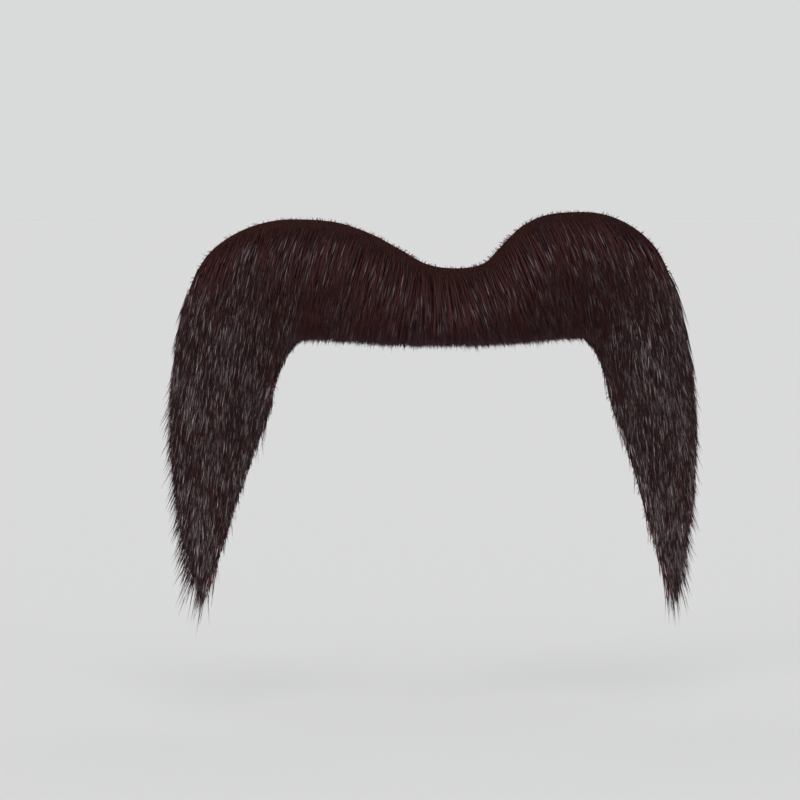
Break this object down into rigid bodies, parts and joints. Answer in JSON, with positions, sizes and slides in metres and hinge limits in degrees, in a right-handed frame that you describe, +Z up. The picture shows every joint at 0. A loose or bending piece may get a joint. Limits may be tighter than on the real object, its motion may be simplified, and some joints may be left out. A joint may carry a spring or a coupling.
{
  "type": "fake moustache",
  "caption": "Horseshoe-shaped stick-on moustache of dark pile fabric: a lip band under two humps, with an arm tapering down each side of the mouth.",
  "frame": {"origin": "on the wearer's skin in the middle of the upper lip, where the back of the adhesive film sits", "axes": "+X across the face to the viewer's right, +Y into the face, +Z up"},
  "size_m": [0.1009, 0.0327, 0.0765],
  "materials": {
    "adhesive": "milky double-sided adhesive film, slightly glossy",
    "cloth": "fine black-brown knitted ground with a dull, dry surface",
    "fur": "straight brown-black synthetic hair with fine cool glints"
  },
  "bodies": {
    "root": {"adhesive_film": "adhesive", "backing_cloth": "cloth", "fur_pile": "fur"}
  },
  "joints": []
}
